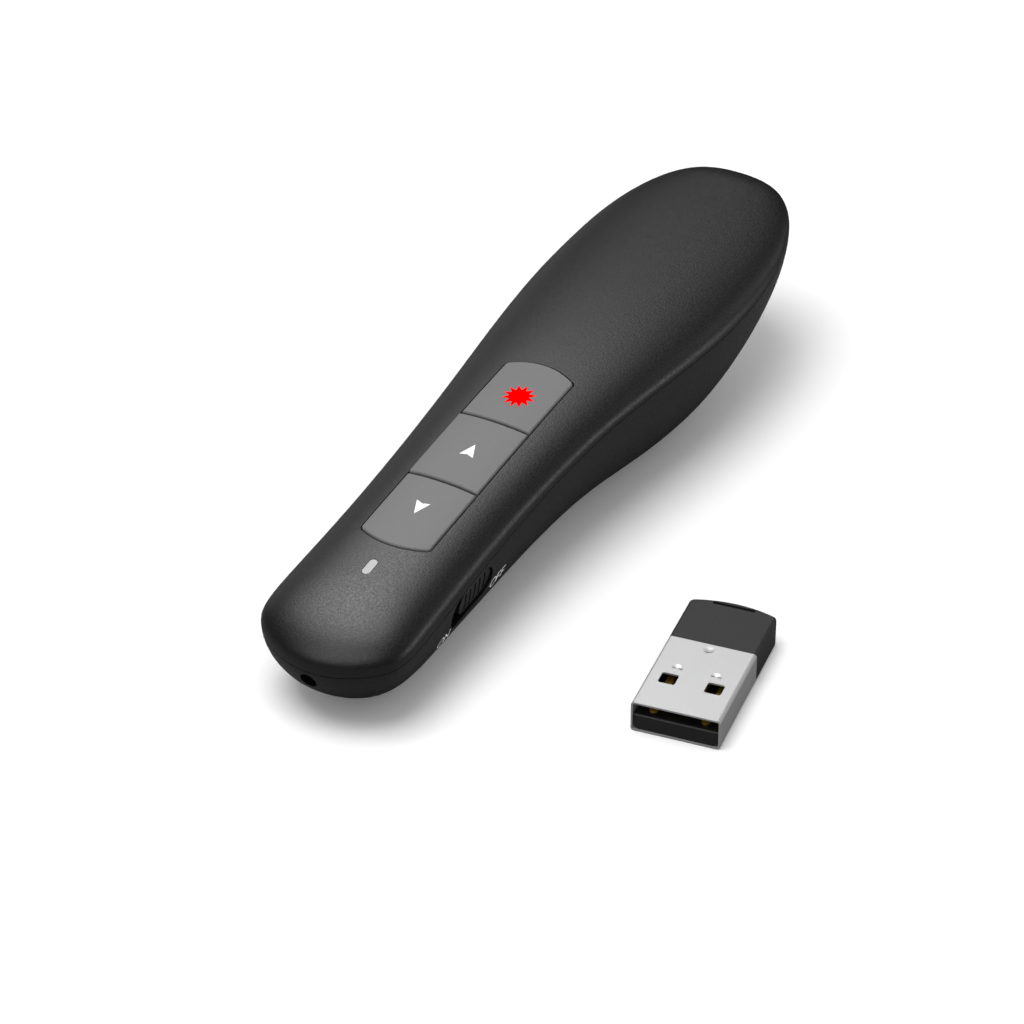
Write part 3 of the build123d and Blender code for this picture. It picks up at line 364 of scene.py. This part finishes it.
def key_print(name, node, mat, place, outline):
    """A filled outline on a key, at a place measured from the middle of the key's box."""
    low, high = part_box(node)
    middle = (Vector(low) + Vector(high)) / 2 / MM
    origin = middle + ALONG * place[0] + ACROSS * place[1]
    printed(name, node, mat, origin, ALONG, ACROSS, [fan(outline)])


key_print("laser_star", "laser_button", STAR_RED_PAINTED_GLOW, STAR_PLACE, star())
key_print("forward_arrow", "forward_button", ARROW_WHITE_PAINTED_GLOW, FORWARD_PLACE, arrowhead(1))
key_print("back_arrow", "back_button", ARROW_WHITE_PAINTED_GLOW, BACK_PLACE, arrowhead(-1))

LETTER_HEIGHT, LETTER_GAP, PEN = 1.6, 0.25, 0.13
OVAL_WIDTH, OVAL_STEPS = 1.4, 24
# The width of a letter, and the ends of its strokes as shares of its width and height.
STRAIGHT_LETTERS = {
    "N": (1.15, [((0, 0), (0, 1)), ((0, 1), (1, 0)), ((1, 0), (1, 1))]),
    "F": (0.85, [((0, 0), (0, 1)), ((0, 1), (1, 1)), ((0, 0.52), (0.8, 0.52))]),
}
SWITCH_PLACE, SWITCH_HEIGHT = 23.6, 9.9  # middle of the switch's slot, behind the nose and above the table
ON_CORNER, OFF_CORNER = (-7.85, -3.1), (5.5, -3.35)  # lower left corners of the words, from that middle


def stroke(start, end, steps=4):
    """A straight pen stroke."""
    start, end = Vector(start), Vector(end)
    side = Vector((start.y - end.y, end.x - start.x)).normalized() * PEN / 2
    middles = [start.lerp(end, k / steps) for k in range(steps + 1)]
    return [[middle - side, middle + side] for middle in middles]


def oval(left, bottom):
    """The letter O drawn with the pen."""
    wide, high = OVAL_WIDTH / 2, LETTER_HEIGHT / 2
    x, y = left + wide, bottom + high
    angles = [2 * math.pi * k / OVAL_STEPS for k in range(OVAL_STEPS + 1)]
    return [[(x + (wide + edge) * math.cos(angle), y + (high + edge) * math.sin(angle)) for angle in angles]
            for edge in (-PEN / 2, PEN / 2)]


def word(text, corner):
    """Capital letters drawn with a pen, from the lower left corner of the first one."""
    left, bottom = corner
    patches = []
    for letter in text:
        if letter == "O":
            width = OVAL_WIDTH
            patches.append(oval(left, bottom))
        else:
            width, strokes = STRAIGHT_LETTERS[letter]
            for ends in strokes:
                start, end = ((left + x * width, bottom + y * LETTER_HEIGHT) for x, y in ends)
                patches.append(stroke(start, end))
        left += width + LETTER_GAP
    return patches


switch_middle = Vector((NOSE_X + SWITCH_PLACE, 0, SWITCH_HEIGHT))
printed("word_on", "lower_shell", LETTER_WHITE_PAINTED_GLOW, switch_middle, ALONG, UPWARD, word("ON", ON_CORNER))
printed("word_off", "lower_shell", LETTER_WHITE_PAINTED_GLOW, switch_middle, ALONG, UPWARD, word("OFF", OFF_CORNER))

# ---------------------------------------------------------------- pressed marks on the plug, in mm
UP = Vector((0, 0, 1))
BACKWARD = -Vector(mounts["usb_plug"]["axis"])
LEFTWARD = UP.cross(BACKWARD)  # as seen from the plug's front
PLUG_FRONT = Vector(mounts["usb_plug"]["pos_m"]) / MM
PLUG_FRONT.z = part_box("receiver_plug_shell")[1][2] / MM  # the front edge's middle, on the top face
MARK_LIFT = 0.004  # keeps a mark's middle off the face
MARK_RINGS, MARK_SPOKES = 6, 32
ROUND, BACK_HALF = (0, 2 * math.pi), (-math.pi / 2, math.pi / 2)
DIMPLE_PLACE, DIMPLE_SIDE, DIMPLE_RADIUS, DIMPLE_RISE = 13.8, 0.2, 0.65, 0.07
WINDOW_MARK_PLACE, WINDOW_MARK_RADIUS, WINDOW_MARK_RISE = 8.6, 0.7, 0.16
WINDOW_MARK_SIDES = {"window_dimple_left": 2.76, "window_dimple_right": -2.49}


def pressed_mark(name, place, side, radius, rise, span):
    """A shallow dish on the plug's top face, whole or cut to a span of angles, with a rim of that rise."""
    middle = PLUG_FRONT + BACKWARD * place + LEFTWARD * side
    points = []
    for ring in range(MARK_RINGS + 1):
        share = ring / MARK_RINGS
        for spoke in range(MARK_SPOKES + 1):
            angle = span[1] - (span[1] - span[0]) * spoke / MARK_SPOKES
            flat = (BACKWARD * math.cos(angle) + LEFTWARD * math.sin(angle)) * radius * share
            points.append((middle + flat + UP * (MARK_LIFT + rise * share)) * MM)
    faces = grid_faces(MARK_RINGS + 1, MARK_SPOKES + 1)
    obj = add_mesh(name, points, faces, SLOTS["plug_steel"], smooth=True)
    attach(obj, "receiver")


pressed_mark("plug_dimple", DIMPLE_PLACE, DIMPLE_SIDE, DIMPLE_RADIUS, DIMPLE_RISE, ROUND)
for name, side in WINDOW_MARK_SIDES.items():
    pressed_mark(name, WINDOW_MARK_PLACE, side, WINDOW_MARK_RADIUS, WINDOW_MARK_RISE, BACK_HALF)

# ---------------------------------------------------------------- floor, lamps, camera, in metres
FLOOR_WHITE, FLOOR_GLOW, FLOOR_BOUNCE = 0.95, 0.06, 0.22
FLOOR_REACH, FLOOR_DROP = 3.0, 0.03 * MM  # it lies just below the faces that rest on it
WORLD_LIGHT = 0.55
AIM = Vector((-0.0202, 0.002, 0.0))  # the camera and the lamps point here
CAMERA_PLACE, CAMERA_LENS, SENSOR_WIDTH = (-0.4073, -0.2257, 0.3171), 140.6, 36.0
CAMERA_NEAR, CAMERA_FAR = 0.01, 50.0


def paper():
    """White paper to the camera, and a greyer one to the light that it throws back at the object."""
    mat = bpy.data.materials.new("paper")
    mat.use_nodes = True
    tree = mat.node_tree
    tree.nodes.clear()
    output = tree.nodes.new("ShaderNodeOutputMaterial")
    choose = tree.nodes.new("ShaderNodeMixShader")
    seen = tree.nodes.new("ShaderNodeLightPath")
    dim = tree.nodes.new("ShaderNodeBsdfDiffuse")
    dim.inputs["Color"].default_value = (FLOOR_BOUNCE, FLOOR_BOUNCE, FLOOR_BOUNCE, 1)
    white = tree.nodes.new("ShaderNodeBsdfDiffuse")
    white.inputs["Color"].default_value = (FLOOR_WHITE, FLOOR_WHITE, FLOOR_WHITE, 1)
    glow = tree.nodes.new("ShaderNodeEmission")
    glow.inputs["Strength"].default_value = FLOOR_GLOW
    both = tree.nodes.new("ShaderNodeAddShader")
    tree.links.new(white.outputs["BSDF"], both.inputs[0])
    tree.links.new(glow.outputs["Emission"], both.inputs[1])
    tree.links.new(seen.outputs["Is Camera Ray"], choose.inputs["Fac"])
    tree.links.new(dim.outputs["BSDF"], choose.inputs[1])
    tree.links.new(both.outputs["Shader"], choose.inputs[2])
    tree.links.new(choose.outputs["Shader"], output.inputs["Surface"])
    return mat


floor_corners = [(x * FLOOR_REACH, y * FLOOR_REACH, 0) for x, y in ((-1, -1), (1, -1), (1, 1), (-1, 1))]
floor = add_mesh("floor", floor_corners, [(0, 1, 2, 3)], paper())
floor.location.z = -FLOOR_DROP

world = bpy.data.worlds.new("studio")
bpy.context.scene.world = world
world.use_nodes = True
background = world.node_tree.nodes["Background"]
background.inputs["Color"].default_value = (1, 1, 1, 1)
background.inputs["Strength"].default_value = WORLD_LIGHT
world.cycles_visibility.glossy = False  # it lights the object but doesn't show in reflections


def take_aim(obj):
    obj.rotation_mode = "QUATERNION"
    obj.rotation_quaternion = (AIM - obj.location).to_track_quat("-Z", "Y")


def lamp(name, compass, height, size, power, distance=0.9, mirrored=False, lights=False):
    """A softbox aimed at the object, from a compass angle and a height in degrees. A mirrored one shows in
    reflections, and one that lights throws light on matt surfaces."""
    data = bpy.data.lights.new(name, "AREA")
    data.shape = "RECTANGLE"
    data.size, data.size_y = size
    data.energy = power
    obj = add_object(name, data)
    across, up = math.radians(compass), math.radians(height)
    away = Vector((math.cos(across) * math.cos(up), math.sin(across) * math.cos(up), math.sin(up)))
    obj.location = AIM + away * distance
    take_aim(obj)
    obj.visible_glossy = mirrored
    obj.visible_diffuse = lights


lamp("overhead", compass=148, height=77, size=(0.65, 0.65), power=7.2, distance=1.0, lights=True)
lamp("high_sheen", compass=47, height=70, size=(0.5, 0.5), power=3.6, mirrored=True)
lamp("low_sheen", compass=50, height=55, size=(0.4, 0.4), power=2.4, mirrored=True)
lamp("front_fill", compass=176, height=56, size=(0.8, 0.7), power=3.7, mirrored=True)
lamp("side_fill", compass=-62, height=8, size=(0.5, 0.2), power=1.3, mirrored=True)
lamp("rear_side", compass=-29, height=27, size=(0.3, 0.3), power=0.4, mirrored=True)
lamp("behind", compass=60, height=11, size=(0.55, 0.3), power=0.32, mirrored=True)

camera_data = bpy.data.cameras.new("camera")
camera_data.sensor_width = SENSOR_WIDTH
camera_data.lens = CAMERA_LENS
camera_data.clip_start, camera_data.clip_end = CAMERA_NEAR, CAMERA_FAR
camera = add_object("camera", camera_data)
camera.location = CAMERA_PLACE
take_aim(camera)
bpy.context.scene.camera = camera
bpy.context.scene.view_settings.view_transform = "Standard"
